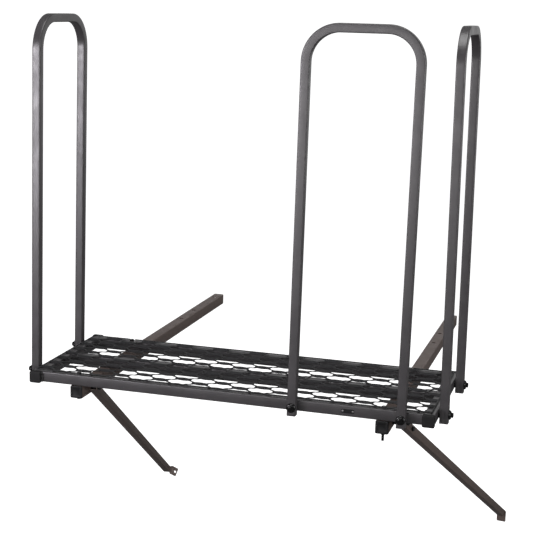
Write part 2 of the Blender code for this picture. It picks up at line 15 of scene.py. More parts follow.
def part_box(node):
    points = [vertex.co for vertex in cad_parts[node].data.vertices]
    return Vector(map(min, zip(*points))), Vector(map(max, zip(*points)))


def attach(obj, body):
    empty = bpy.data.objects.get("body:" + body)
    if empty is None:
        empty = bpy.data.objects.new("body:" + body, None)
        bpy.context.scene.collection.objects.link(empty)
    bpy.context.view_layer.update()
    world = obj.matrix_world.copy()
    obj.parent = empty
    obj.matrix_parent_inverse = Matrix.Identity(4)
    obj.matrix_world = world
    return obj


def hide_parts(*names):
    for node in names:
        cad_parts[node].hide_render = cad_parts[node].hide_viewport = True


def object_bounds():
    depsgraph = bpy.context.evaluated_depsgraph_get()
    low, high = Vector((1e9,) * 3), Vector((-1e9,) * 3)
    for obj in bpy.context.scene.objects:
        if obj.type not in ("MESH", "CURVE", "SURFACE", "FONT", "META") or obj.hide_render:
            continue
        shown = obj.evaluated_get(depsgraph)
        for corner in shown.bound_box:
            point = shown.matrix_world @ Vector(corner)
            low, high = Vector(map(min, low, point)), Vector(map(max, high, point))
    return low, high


X_AXIS = Vector((1, 0, 0))
Y_AXIS = Vector((0, 1, 0))
Z_AXIS = Vector((0, 0, 1))

FRAME_BODY = "rack_frame"
SIDES = (("left", -1), ("right", 1))

# Tubes. Leans are per metre of height above the rails.
RAIL_WALL = 0.0020
RAIL_CORNER = 0.0027
WELD_RADIUS = 0.0023
WELD_RIPPLE = 0.13
WELD_PITCH = 0.0021
WELD_STEP = 0.0005
UPRIGHT = 0.0254
UPRIGHT_WALL = 0.0015
UPRIGHT_CORNER = 0.0030
UPRIGHT_BEND = 0.0920
BEND_STEPS = 22
UPRIGHT_LEANS = {
    "left": Vector((0.0123, 0.0, 0.0)),
    "right": Vector((-0.0078, 0.0, 0.0)),
    "front": Vector((0.0066, 0.0095, 0.0)),
}
ARM_WALL = 0.0020
ARM_CORNER = 0.0032
ARM_HOLE_RADIUS = 0.0070
ARM_HOLES_FROM_FRONT = (0.912, 1.048, 1.289)
DENT_DEPTH = 0.0011
DENT_HALF_HEIGHT = 0.0115
DENT_STEPS = 12

# Expanded metal
CELL_PITCH_X = 0.1232
CELL_PITCH_Y = 0.0293
CELL_TIP = 0.0416
BOND_HALF_LENGTH = CELL_PITCH_X / 2 - CELL_TIP
CELL_FIRST_X = -0.1508
CELL_FIRST_FROM_FRONT = 0.0320
BOND_HALF_WIDTH = (0.0030, 0.0074)
STRAND_HALF_WIDTH = 0.0027
CELL_EDGE_STEPS = 7
MESH_RELIEF = 0.0032
MESH_STRIP = 0.0027
MESH_BORDER = 0.0036
MESH_BORDER_ROUND = 0.0004
MESH_EDGE_FADE = 0.0150
BOLT_CLEARANCE = 0.0095

# Braces
BRACE = 0.0254
BRACE_WALL = 0.0020
BRACE_CORNER = 0.0032
BRACE_SLOPE = math.radians(30.4)
BRACE_SPLAY = math.radians(9.5)
BRACE_START = -0.0160
BRACE_END = 1.3680
NOTCH_ROOM = 0.0030
NOTCH_REACH = 0.3000
CROSS_BOLT = 0.0650
FOOT_BEND = 0.0090
FOOT_BEND_STEPS = 8
FOOT_LENGTHS = {"left": 0.0280, "right": 0.0400}
FOOT_WIDTH = 0.0340
LEFT_FOOT_ALONG = Vector((0.74, 0.43, -0.51)).normalized()
FOOT_HOLE_RADIUS = 0.0045
FOOT_HOLE_INSET = 0.0090

# Fasteners
GAP = 0.0003
HEX_FLATS = 0.0130
HEAD_HEIGHT = 0.0053
NUT_HEIGHT = 0.0065
THREAD_CREST = 0.0039
THREAD_ROOT = 0.0033
THREAD_PITCH = 0.00125
THREAD_LENGTH = 0.0240
THREAD_OVERLAP = 0.0005
HEAD_CROWN = 0.46
NUT_CROWN = 0.47
HOLE_RADIUS = 0.0046
CUP_RADIUS = 0.0140
CUP_HEIGHT = 0.0065
ROUND = 40

# Label plate
LABEL_CORNER = 0.0022
RIVET_INSET = 0.0040

# Camera
CAMERA_PLACE = (1.0876, -4.4433, 1.16355)
CAMERA_YAW = math.radians(15.976)
CAMERA_PITCH = math.radians(11.442)
CAMERA_ROLL = math.radians(1.554)
CAMERA_LENS = 86.94

# Studio: each softbox has its place, target, size, power and colour
FLOOR_DROP = 0.75
STUDIO_RADIUS = 40.0
AMBIENT = 0.12
SOFTBOXES = {
    "key_left": ((-2.5, -4.75, 0.95), (-0.6, -0.95, 0.85), (1.2, 1.7), 84, (0.98, 0.94, 1.0)),
    "front_wall": ((-0.45, -5.2, 0.75), (0.3, -1.0, 0.6), (2.2, 1.5), 24, (1.0, 0.97, 0.99)),
    "fill_right": ((4.0, -2.5, 1.2), (0.2, -0.8, 0.3), (1.5, 2.0), 62, (1, 1, 1)),
    "top": ((0.2, -1.4, 3.8), (0.0, -0.8, 0.0), (2.4, 2.0), 55, (1, 1, 1)),
    "back_wall": ((0.0, 6.0, 1.6), (0.0, -0.8, 0.4), (9.0, 4.0), 60, (1, 1, 1)),
}


# ---------------------------------------------------------------- materials

def node_material(name, roughness, metallic=0.0, specular=0.5, coat=0.0, coat_roughness=0.2):
    material = bpy.data.materials.new(name)
    material.use_nodes = True
    shader = material.node_tree.nodes["Principled BSDF"]
    shader.inputs["Roughness"].default_value = roughness
    shader.inputs["Metallic"].default_value = metallic
    shader.inputs["Specular IOR Level"].default_value = specular
    shader.inputs["Coat Weight"].default_value = coat
    shader.inputs["Coat Roughness"].default_value = coat_roughness
    return material, shader


def noise(tree, scale, detail=3.0, rough=0.55, stretch=(1.0, 1.0, 1.0)):
    coords = tree.nodes.new("ShaderNodeTexCoord")
    mapping = tree.nodes.new("ShaderNodeMapping")
    mapping.inputs["Scale"].default_value = stretch
    texture = tree.nodes.new("ShaderNodeTexNoise")
    texture.inputs["Scale"].default_value = scale
    texture.inputs["Detail"].default_value = detail
    texture.inputs["Roughness"].default_value = rough
    tree.links.new(coords.outputs["Object"], mapping.inputs["Vector"])
    tree.links.new(mapping.outputs["Vector"], texture.inputs["Vector"])
    return texture.outputs["Fac"]


def mottled_colour(tree, shader, colour, contrast, scale):
    """Two shades of one colour, blended by a soft cloud and a fine speckle."""
    ramp = tree.nodes.new("ShaderNodeValToRGB")
    ramp.color_ramp.elements[0].position = 0.32
    ramp.color_ramp.elements[1].position = 0.68
    ramp.color_ramp.elements[0].color = (*[c * (1 - contrast) for c in colour], 1)
    ramp.color_ramp.elements[1].color = (*[c * (1 + contrast) for c in colour], 1)
    cloud = noise(tree, scale)
    speckle = noise(tree, scale * 60, 2.0)
    blend = tree.nodes.new("ShaderNodeMix")
    blend.inputs[0].default_value = 0.4
    tree.links.new(cloud, blend.inputs[2])
    tree.links.new(speckle, blend.inputs[3])
    tree.links.new(blend.outputs[0], ramp.inputs["Fac"])
    tree.links.new(ramp.outputs["Color"], shader.inputs["Base Color"])


def varied_roughness(tree, shader, low, high, scale):
    ranged = tree.nodes.new("ShaderNodeMapRange")
    ranged.inputs["From Min"].default_value = 0.3
    ranged.inputs["From Max"].default_value = 0.7
    ranged.inputs["To Min"].default_value = low
    ranged.inputs["To Max"].default_value = high
    tree.links.new(noise(tree, scale), ranged.inputs["Value"])
    tree.links.new(ranged.outputs["Result"], shader.inputs["Roughness"])


def bumps(tree, shader, layers):
    """Surface relief from layers of noise, each given as scale and height in metres."""
    last = None
    for scale, height in layers:
        bump = tree.nodes.new("ShaderNodeBump")
        bump.inputs["Strength"].default_value = 1.0
        bump.inputs["Distance"].default_value = height
        tree.links.new(noise(tree, scale, 2.0), bump.inputs["Height"])
        if last:
            tree.links.new(last, bump.inputs["Normal"])
        last = bump.outputs["Normal"]
    tree.links.new(last, shader.inputs["Normal"])


def coated_steel(name, colour, roughness, contrast=0.10, specular=0.5):
    """Satin powder coat: slight orange peel, fine grain and soft changes of shade."""
    material, shader = node_material(name, roughness, metallic=0.0, specular=specular)
    tree = material.node_tree
    mottled_colour(tree, shader, colour, contrast, 9.0)
    varied_roughness(tree, shader, roughness - 0.05, roughness + 0.06, 30.0)
    bumps(tree, shader, ((160.0, 0.00006), (1400.0, 0.00001)))
    return material


def moulded_plastic(name, colour, roughness):
    material, shader = node_material(name, roughness, specular=0.35)
    tree = material.node_tree
    mottled_colour(tree, shader, colour, 0.15, 25.0)
    varied_roughness(tree, shader, roughness - 0.06, roughness + 0.08, 60.0)
    bumps(tree, shader, ((900.0, 0.00005),))
    return material


def black_oxide(name):
    material, shader = node_material(name, 0.20, specular=0.45, coat=0.25, coat_roughness=0.08)
    tree = material.node_tree
    mottled_colour(tree, shader, (0.0022, 0.0022, 0.0024), 0.25, 40.0)
    varied_roughness(tree, shader, 0.16, 0.30, 120.0)
    bumps(tree, shader, ((700.0, 0.00003),))
    return material


def brushed_plate(name, colour, metallic):
    material, shader = node_material(name, 0.35, metallic=metallic)
    tree = material.node_tree
    mottled_colour(tree, shader, colour, 0.12, 30.0)
    grain = noise(tree, 500.0, 3.0, 0.6, (0.03, 1.0, 1.0))
    bump = tree.nodes.new("ShaderNodeBump")
    bump.inputs["Distance"].default_value = 0.00004
    tree.links.new(grain, bump.inputs["Height"])
    tree.links.new(bump.outputs["Normal"], shader.inputs["Normal"])
    varied_roughness(tree, shader, 0.30, 0.42, 80.0)
    return material


# ---------------------------------------------------------------- outlines

def rounded_square(side, corner, steps=5):
    """Points round a square with rounded corners. The gap from last to first is the +X side."""
    centre = side / 2 - corner
    points = []
    for quarter in range(4):
        sign_x = 1 if quarter in (0, 3) else -1
        sign_y = 1 if quarter in (0, 1) else -1
        for step in range(steps + 1):
            angle = (quarter + step / steps) * math.pi / 2
            x = sign_x * centre + corner * math.cos(angle)
            y = sign_y * centre + corner * math.sin(angle)
            points.append((x, y))
    return points


def circle(radius, sides=ROUND):
    return [(radius * math.cos(2 * math.pi * i / sides), radius * math.sin(2 * math.pi * i / sides))
            for i in range(sides)]


def hex_radius(angle, flats):
    return flats / 2 / math.cos((angle % (math.pi / 3)) - math.pi / 6)


def scaled(outline, factor):
    return [(x * factor, y * factor) for x, y in outline]


# ---------------------------------------------------------------- building

def axes_at(place, along, hint=None):
    """A matrix whose Z runs along a direction, with X as near as it can be to a hint."""
    z_axis = Vector(along).normalized()
    if hint is None:
        hint = X_AXIS if abs(z_axis.x) < 0.5 else Z_AXIS
    x_axis = (hint - z_axis * hint.dot(z_axis)).normalized()
    y_axis = z_axis.cross(x_axis)
    matrix = Matrix.Identity(4)
    for row in range(3):
        matrix[row][0] = x_axis[row]
        matrix[row][1] = y_axis[row]
        matrix[row][2] = z_axis[row]
        matrix[row][3] = place[row]
    return matrix


def add_ring(bm, outline, matrix):
    return [bm.verts.new(matrix @ Vector((p[0], p[1], p[2] if len(p) > 2 else 0.0))) for p in outline]


def bridge(bm, ring_a, ring_b):
    count = len(ring_a)
    for i in range(count):
        j = (i + 1) % count
        bm.faces.new((ring_a[i], ring_a[j], ring_b[j], ring_b[i]))


def skin(bm, rings, loop=False, caps=True):
    """Quads through a row of rings, closed at both ends or joined into a loop."""
    for ring_a, ring_b in zip(rings, rings[1:]):
        bridge(bm, ring_a, ring_b)
    if loop:
        bridge(bm, rings[-1], rings[0])
    elif caps:
        bm.faces.new(list(reversed(rings[0])))
        bm.faces.new(rings[-1])


def turned(bm, profile, place, along, loop=True, sides=ROUND):
    """A turned solid. The profile gives radius and height along the direction."""
    step = Vector(along).normalized()
    rings = [add_ring(bm, circle(radius, sides), axes_at(Vector(place) + step * height, along))
             for radius, height in profile]
    skin(bm, rings, loop=loop)


def tube(bm, outer, inner, matrices):
    """A tube's closed skin through a row of matrices. Each outline may be a function of the row's index."""
    outside = [add_ring(bm, outer(i) if callable(outer) else outer, m) for i, m in enumerate(matrices)]
    inside = [add_ring(bm, inner(i) if callable(inner) else inner, m) for i, m in enumerate(matrices)]
    skin(bm, outside + list(reversed(inside)), loop=True)
    return outside, inside


def piece(name, bm, material, body, replaces=(), smooth=32):
    """Makes a piece from a bmesh in the row frame, and ties it to its body and CAD nodes."""
    bmesh.ops.recalc_face_normals(bm, faces=bm.faces)
    mesh = bpy.data.meshes.new(name)
    bm.to_mesh(mesh)
    bm.free()
    mesh.materials.append(material)
    mesh.shade_smooth()
    mesh.set_sharp_from_angle(angle=math.radians(smooth))
    item = bpy.data.objects.new(name, mesh)
    bpy.context.scene.collection.objects.link(item)
    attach(item, body)
    if replaces:
        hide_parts(*replaces)
    return item


def subtract(item, bm, smooth=32):
    """Cuts a bmesh out of a piece and keeps the result as the piece's own mesh."""
    bmesh.ops.recalc_face_normals(bm, faces=bm.faces)
    mesh = bpy.data.meshes.new("cutter")
    bm.to_mesh(mesh)
    bm.free()
    cutter = bpy.data.objects.new("cutter", mesh)
    bpy.context.scene.collection.objects.link(cutter)
    modifier = item.modifiers.new("cut", "BOOLEAN")
    modifier.operation = "DIFFERENCE"
    modifier.solver = "EXACT"
    modifier.object = cutter
    bpy.context.view_layer.update()
    made = bpy.data.meshes.new_from_object(item.evaluated_get(bpy.context.evaluated_depsgraph_get()))
    item.modifiers.clear()
    old = item.data
    item.data = made
    made.name = item.name
    made.shade_smooth()
    made.set_sharp_from_angle(angle=math.radians(smooth))
    bpy.data.meshes.remove(old)
    bpy.data.objects.remove(cutter)


def add_box(bm, lowest, highest):
    """A box between two corners."""
    verts = bmesh.ops.create_cube(bm, size=1.0)["verts"]
    for vert in verts:
        vert.co = Vector([lowest[i] if vert.co[i] < 0 else highest[i] for i in range(3)])
    return verts


def rod(bm, start, end, radius, sides=32):
    """A plain round bar between two points, used to drill holes."""
    along = Vector(end) - Vector(start)
    rings = [add_ring(bm, circle(radius, sides), axes_at(place, along)) for place in (start, end)]
    skin(bm, rings)


def middle(node):
    low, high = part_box(node)
    return (low + high) / 2


# ---------------------------------------------------------------- fasteners

def hex_outline(flats, lift=None):
    """A hexagon with points along its sides. Lift gives each point's height from its radius."""
    points = []
    for i in range(ROUND + 8):
        angle = 2 * math.pi * i / (ROUND + 8)
        radius = hex_radius(angle, flats)
        points.append((radius * math.cos(angle), radius * math.sin(angle), lift(radius) if lift else 0.0))
    return points


def thread(bm, place, along, start, end):
    """A screw thread from start to end along a direction, closed at both ends."""
    along = Vector(along).normalized()
    base = axes_at(place, along)
    sides = 24
    turns = int((end - start - THREAD_PITCH * 1.4) / THREAD_PITCH)
    rows = [(THREAD_ROOT, start, False)]
    for turn in range(turns):
        height = start + turn * THREAD_PITCH
        rows.append((THREAD_ROOT, height + THREAD_PITCH * 0.05, True))
        rows.append((THREAD_CREST, height + THREAD_PITCH * 0.45, True))
        rows.append((THREAD_CREST, height + THREAD_PITCH * 0.60, True))
    rows.append((THREAD_ROOT, end - THREAD_PITCH * 0.2, False))
    rows.append((THREAD_ROOT * 0.86, end, False))
    rings = []
    for radius, height, turning in rows:
        points = []
        for i in range(sides):
            angle = 2 * math.pi * i / sides
            rise = THREAD_PITCH * 0.9 * i / sides if turning else 0.0
            points.append((radius * math.cos(angle), radius * math.sin(angle), height + rise))
        rings.append(add_ring(bm, points, base))
    skin(bm, rings)


def bolt_head(bm, place, along):
    """A chamfered hexagon head that bears at place and stands the other way from along."""
    out = -Vector(along).normalized()
    base = axes_at(place, out)
    crown = HEX_FLATS * HEAD_CROWN
    count = ROUND + 8

    def chamfer(radius):
        return HEAD_HEIGHT - max(0.0, radius - crown) * 0.55

    def level(outline, height):
        return [(x, y, height) for x, y in outline]

    rings = [
        level(circle(HEX_FLATS * NUT_CROWN, count), 0.0),
        level(circle(HEX_FLATS * NUT_CROWN, count), 0.0004),
        [(x, y, 0.0004) for x, y, _ in hex_outline(HEX_FLATS * 0.985)],
        [(x, y, 0.0009) for x, y, _ in hex_outline(HEX_FLATS)],
        hex_outline(HEX_FLATS, chamfer),
        level(circle(crown, count), HEAD_HEIGHT),
        level(circle(crown * 0.92, count), HEAD_HEIGHT + 0.0001),
        level(circle(crown * 0.5, count), HEAD_HEIGHT - 0.0002),
    ]
    skin(bm, [add_ring(bm, ring, base) for ring in rings])


def nut(bm, place, along):
    """A nut chamfered on both faces, bearing at place and standing along the direction."""
    base = axes_at(place, along)
    crown = HEX_FLATS * NUT_CROWN
    count = ROUND + 8

    def top(radius):
        return NUT_HEIGHT - max(0.0, radius - crown) * 0.5

    def bottom(radius):
        return max(0.0, radius - crown) * 0.5

    rings = [
        [(x, y, 0.0) for x, y in circle(HOLE_RADIUS, count)],
        [(x, y, 0.0) for x, y in circle(crown, count)],
        hex_outline(HEX_FLATS, bottom),
        hex_outline(HEX_FLATS, top),
        [(x, y, NUT_HEIGHT) for x, y in circle(crown, count)],
        [(x, y, NUT_HEIGHT) for x, y in circle(HOLE_RADIUS, count)],
        [(x, y, NUT_HEIGHT - 0.0005) for x, y in circle(THREAD_CREST + 0.0001, count)],
        [(x, y, 0.0005) for x, y in circle(THREAD_CREST + 0.0001, count)],
    ]
    skin(bm, [add_ring(bm, ring, base) for ring in rings], loop=True)


def end_along(node, along):
    """How far a node reaches along a direction that lies on one axis, from the row's origin."""
    low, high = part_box(node)
    return max(low.dot(along), high.dot(along))


def bolt(node, along, material, body=FRAME_BODY):
    """A bolt in place of a CAD bolt: head, shank and threaded end."""
    centre = middle(node)
    start = centre + along * (-end_along(node, -along) - centre.dot(along)) + along * HEAD_HEIGHT
    length = end_along(node, along) - start.dot(along)
    bm = bmesh.new()
    bolt_head(bm, start, along)
    plain = max(0.004, length - THREAD_LENGTH)
    turned(bm, [(THREAD_CREST, -0.0002), (THREAD_CREST, plain)], start, along, loop=False, sides=24)
    thread(bm, start, along, plain - THREAD_OVERLAP, length)
    return piece(f"{node}_detail", bm, material, body, [node])


def hex_nut(node, along, material, body=FRAME_BODY):
    centre = middle(node)
    start = centre + along * (-end_along(node, -along) - centre.dot(along))
    bm = bmesh.new()
    nut(bm, start, along)
    return piece(f"{node}_detail", bm, material, body, [node])


def cup_washer(node, along, material):
    """A domed cup with a rolled rim. It bears on the tube and the bolt head sits on it."""
    centre = middle(node)
    base = centre + along * (end_along(node, along) - centre.dot(along))
    profile = [
        (CUP_RADIUS * 0.93, 0.0),
        (CUP_RADIUS * 0.985, 0.0003),
        (CUP_RADIUS, 0.0010),
        (CUP_RADIUS * 0.985, 0.0017),
    ]
    for step in range(1, 9):
        angle = math.radians(8 + step * 8.2)
        radius = CUP_RADIUS * (0.45 + 0.53 * math.cos(angle))
        profile.append((radius, 0.0015 + (CUP_HEIGHT - 0.0015) * math.sin(angle) / math.sin(math.radians(73.6))))
    profile += [(HOLE_RADIUS + 0.0004, CUP_HEIGHT), (HOLE_RADIUS, CUP_HEIGHT - 0.0004), (HOLE_RADIUS, 0.0)]
    bm = bmesh.new()
    turned(bm, profile, base, -along, sides=56)
    return piece(f"{node}_detail", bm, material, FRAME_BODY, [node], 40)


def round_spacer(node, along, material, radius):
    centre = middle(node)
    start = centre + along * (-end_along(node, -along) - centre.dot(along))
    length = end_along(node, along) - start.dot(along)
    edge = min(0.0005, length * 0.25)
    profile = [(HOLE_RADIUS, 0.0), (radius - edge, 0.0), (radius, edge), (radius, length - edge),
               (radius - edge, length), (HOLE_RADIUS, length)]
    bm = bmesh.new()
    turned(bm, profile, start, along)
    return piece(f"{node}_detail", bm, material, FRAME_BODY, [node])


# ---------------------------------------------------------------- deck frame

def straight_tube(node, along, wall, corner, material, steps=5):
    """A square tube with rounded corners, open at both ends, in place of a CAD tube."""
    low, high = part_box(node)
    side = min(high - low)
    centre = (low + high) / 2
    half = (high - low).dot(along) / 2
    outer = rounded_square(side, corner, steps)
    inner = rounded_square(side - 2 * wall, corner - wall * 0.6, steps)
    bm = bmesh.new()
    tube(bm, outer, inner, [axes_at(centre + along * half * s, along) for s in (-1, 1)])
    return piece(f"{node}_detail", bm, material, FRAME_BODY, [node])


def weld_bead(bm, start, end, out):
    """A rippled weld bead along an inside corner, bulging outward."""
    start = Vector(start)
    end = Vector(end)
    along = (end - start).normalized()
    length = (end - start).length
    count = int(length / WELD_STEP)
    rings = []
    for i in range(count + 1):
        share = i / count
        taper = min(1.0, 8 * share + 0.25, 8 * (1 - share) + 0.25)
        ripple = 1.0 + WELD_RIPPLE * abs(math.sin(share * length / WELD_PITCH * math.pi))
        radius = WELD_RADIUS * taper * ripple
        rings.append(add_ring(bm, circle(radius, 10), axes_at(start + along * length * share, along, out)))
    skin(bm, rings)


def slip_cap(node, outward, material):
    """A rubber cap with soft edges and a thin lip, pushed over an end rail's end."""
    low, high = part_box(node)
    centre = (low + high) / 2
    side = high.x - low.x
    depth = high.y - low.y
    face_y = centre.y + outward * depth / 2
    place = Vector((centre.x, face_y, centre.z))
    inward = Vector((0, -outward, 0))
    profile = [(0.60, 0.0), (0.86, 0.0), (0.935, 0.0002), (0.975, 0.0008), (0.995, 0.0019), (0.998, 0.0045),
               (0.99, depth - 0.0022), (1.0, depth - 0.0016), (1.0, depth - 0.0004), (0.992, depth)]
    outline = rounded_square(side, 0.0052, 7)
    bm = bmesh.new()
    rings = [add_ring(bm, scaled(outline, size), axes_at(place + inward * reach, inward)) for size, reach in profile]
    inner = rounded_square(side - 0.0034, 0.0030, 7)
    rings.append(add_ring(bm, inner, axes_at(place + inward * depth, inward)))
    rings.append(add_ring(bm, inner, axes_at(place + inward * 0.0024, inward)))
    skin(bm, rings)
    return piece(f"{node}_detail", bm, material, FRAME_BODY, [node], 50)


def deck_frame(materials):
    graphite = materials["graphite"]
    for node in ("front_rail", "middle_rail", "back_rail"):
        straight_tube(node, X_AXIS, RAIL_WALL, RAIL_CORNER, graphite)
    bm = bmesh.new()
    for word, side in SIDES:
        straight_tube(f"end_rail_{word}", Y_AXIS, RAIL_WALL, RAIL_CORNER, graphite)
        low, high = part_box(f"end_rail_{word}")
        seam_x = high.x if side < 0 else low.x
        for node in ("front_rail", "middle_rail", "back_rail"):
            rail_low, rail_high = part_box(node)
            for y, out in ((rail_low.y, -1), (rail_high.y, 1)):
                weld_bead(bm, (seam_x - side * 0.0004, y + out * 0.0002, rail_low.z + 0.0022),
                          (seam_x - side * 0.0004, y + out * 0.0002, rail_high.z - 0.0022), Vector((0, out, 0)))
            weld_bead(bm, (seam_x, rail_low.y + 0.002, rail_low.z + 0.0003),
                      (seam_x, rail_high.y - 0.002, rail_low.z + 0.0003), -Z_AXIS)
        slip_cap(f"rail_cap_front_{word}", -1, materials["plastic"])
        slip_cap(f"rail_cap_back_{word}", 1, materials["plastic"])
    piece("deck_weld_beads", bm, graphite, FRAME_BODY, (), 60)


# ---------------------------------------------------------------- expanded metal floor

def relief(from_front, depth):
    """Height of the slanted bonds and strands, by distance from the front, flat at both edges."""
    edge = min(1.0, max(0.0, min(from_front, depth - from_front) / MESH_EDGE_FADE))
    phase = ((from_front - CELL_FIRST_FROM_FRONT) / CELL_PITCH_Y + 0.5) % 1.0 - 0.5
    rise = 0.22
    if abs(phase) < rise:
        share = math.sin(phase / rise * math.pi / 2)
    else:
        share = math.copysign(math.sin((0.5 - abs(phase)) / (0.5 - rise) * math.pi / 2), phase)
    return MESH_RELIEF / 2 * share * edge


def lerp(a, b, share):
    return (a[0] + (b[0] - a[0]) * share, a[1] + (b[1] - a[1]) * share)


def cell_loops():
    """The outline of one cell of the pattern and of the opening in it, about the cell's centre."""
    corners = [(CELL_TIP, 0.0), (BOND_HALF_LENGTH, CELL_PITCH_Y), (-BOND_HALF_LENGTH, CELL_PITCH_Y),
               (-CELL_TIP, 0.0), (-BOND_HALF_LENGTH, -CELL_PITCH_Y), (BOND_HALF_LENGTH, -CELL_PITCH_Y)]
    outer = []
    inner = []
    narrow, wide = BOND_HALF_WIDTH
    for i, corner in enumerate(corners):
        following = corners[(i + 1) % 6]
        bond = i in (1, 4)
        length = math.dist(corner, following)
        normal = ((following[1] - corner[1]) / length, -(following[0] - corner[0]) / length)
        for step in range(CELL_EDGE_STEPS):
            share = step / CELL_EDGE_STEPS
            point = lerp(corner, following, share)
            bow = 1 - (2 * share - 1) ** 2
            width = narrow + (wide - narrow) * bow if bond else STRAND_HALF_WIDTH
            outer.append(point)
            inner.append((point[0] - normal[0] * width, point[1] - normal[1] * width))
    for _ in range(2):
        count = len(inner)
        inner = [((inner[i - 1][0] + 2 * inner[i][0] + inner[(i + 1) % count][0]) / 4,
                  (inner[i - 1][1] + 2 * inner[i][1] + inner[(i + 1) % count][1]) / 4) for i in range(count)]
    return outer, inner


def expanded_metal(material):
    low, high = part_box("mesh_deck")
    outer, inner = cell_loops()
    lens = [lerp(a, b, 0.5) for a, b in zip(outer, inner)]
    bm = bmesh.new()
    half = MESH_STRIP / 2
    first_y = low.y + CELL_FIRST_FROM_FRONT
    centre_z = low.z + half + MESH_RELIEF / 2
    for row in range(-2, 17):
        y = first_y + row * CELL_PITCH_Y
        shift = (row % 2) * CELL_PITCH_X / 2
        for column in range(-5, 7):
            x = CELL_FIRST_X + shift + column * CELL_PITCH_X
            if abs(x) > high.x + CELL_PITCH_X / 2:
                continue
            layers = []
            for side in (1, -1):
                for loop in (outer, lens, inner):
                    thick = half * (0.86 if loop is inner else 1.0)
                    ring = [(x + px, y + py, centre_z + relief(y + py - low.y, high.y - low.y) + side * thick)
                            for px, py in loop]
                    layers.append([bm.verts.new(point) for point in ring])
            bridge(bm, layers[0], layers[1])
            bridge(bm, layers[1], layers[2])
            bridge(bm, layers[2], layers[5])
            bridge(bm, layers[5], layers[4])
            bridge(bm, layers[4], layers[3])
    bmesh.ops.remove_doubles(bm, verts=bm.verts, dist=0.00002)
    for place, normal in (((low.x, 0, 0), -X_AXIS), ((high.x, 0, 0), X_AXIS),
                          ((0, low.y, 0), -Y_AXIS), ((0, high.y, 0), Y_AXIS)):
        geometry = bm.verts[:] + bm.edges[:] + bm.faces[:]
        cut = bmesh.ops.bisect_plane(bm, geom=geometry, plane_co=place, plane_no=normal, clear_outer=True)
        edges = [e for e in cut["geom_cut"] if isinstance(e, bmesh.types.BMEdge)]
        bmesh.ops.holes_fill(bm, edges=edges, sides=0)
    item = piece("mesh_deck_detail", bm, material, FRAME_BODY, ["mesh_deck"], 40)
    holes = bmesh.new()
    for end in ("front", "back"):
        for word, _ in SIDES:
            centre = middle(f"arm_bolt_{end}_{word}")
            rod(holes, (centre.x, centre.y, low.z - 0.01), (centre.x, centre.y, low.z + 0.02), BOLT_CLEARANCE)
    subtract(item, holes, 40)
    mesh_border(low, high, centre_z, material)
    return item


def mesh_border(low, high, centre_z, material):
    """The flat selvage round the sheet, broken where the arm bolts' heads need room."""
    half = Vector((0, 0, MESH_STRIP / 2 + 0.0001))
    gaps = sorted(middle(f"arm_bolt_front_{word}").x for word, _ in SIDES)
    starts = [low.x] + [x + BOLT_CLEARANCE for x in gaps]
    ends = [x - BOLT_CLEARANCE for x in gaps] + [high.x]
    strips = []
    for start, end in zip(starts, ends):
        strips.append(((start, low.y), (end, low.y + MESH_BORDER)))
        strips.append(((start, high.y - MESH_BORDER), (end, high.y)))
    for start in (low.x, high.x - MESH_BORDER):
        strips.append(((start, low.y + MESH_BORDER), (start + MESH_BORDER, high.y - MESH_BORDER)))
    bm = bmesh.new()
    for near, far in strips:
        lowest = Vector((*near, centre_z)) - half
        highest = Vector((*far, centre_z)) + half
        verts = add_box(bm, lowest, highest)
        edges = list({edge for vert in verts for edge in vert.link_edges})
        bmesh.ops.bevel(bm, geom=edges, offset=MESH_BORDER_ROUND, segments=2, affect="EDGES")
    piece("mesh_border_detail", bm, material, FRAME_BODY, (), 40)


# ---------------------------------------------------------------- uprights

def dented(side, corner, depth):
    """A rounded square whose two walls across Y are pressed in at their middles."""
    plain = rounded_square(side, corner, 5)
    count = len(plain) // 4
    half = side / 2
    presses = [(0.0042, 0.0), (0.0018, 0.35), (0.0, 1.0), (-0.0018, 0.35), (-0.0042, 0.0)]
    upper = [(x, half - depth * press) for x, press in presses]
    lower = [(-x, -(half - depth * press)) for x, press in presses]
    return plain[:count] + upper + plain[count:3 * count] + lower + plain[3 * count:]


def upright_stops(low_z, top_z, half, fold_z, rail_z):
    """Distance across, height, heading and dent share for each section along an upright."""
    foot = [(-half, low_z, 90.0, 0.0)]
    for i in range(DENT_STEPS + 1):
        z = fold_z + DENT_HALF_HEIGHT * (2 * i / DENT_STEPS - 1)
        dent = math.sin(math.pi * i / DENT_STEPS) ** 0.5 if 0 < i < DENT_STEPS else 0.0
        foot.append((-half, z, 90.0, dent))
    stops = foot + [(-half, rail_z, 90.0, 0.0)]
    for side, first in ((-1, 90.0), (1, 0.0)):
        for step in range(BEND_STEPS + 1):
            heading = first - 90.0 * step / BEND_STEPS
            angle = math.radians(heading + 90.0)
            across = side * (half - UPRIGHT_BEND) + UPRIGHT_BEND * math.cos(angle)
            stops.append((across, top_z - UPRIGHT_BEND + UPRIGHT_BEND * math.sin(angle), heading, 0.0))
    stops.append((half, rail_z, -90.0, 0.0))
    return stops + [(half, z, -90.0, dent) for _, z, _, dent in reversed(foot)]


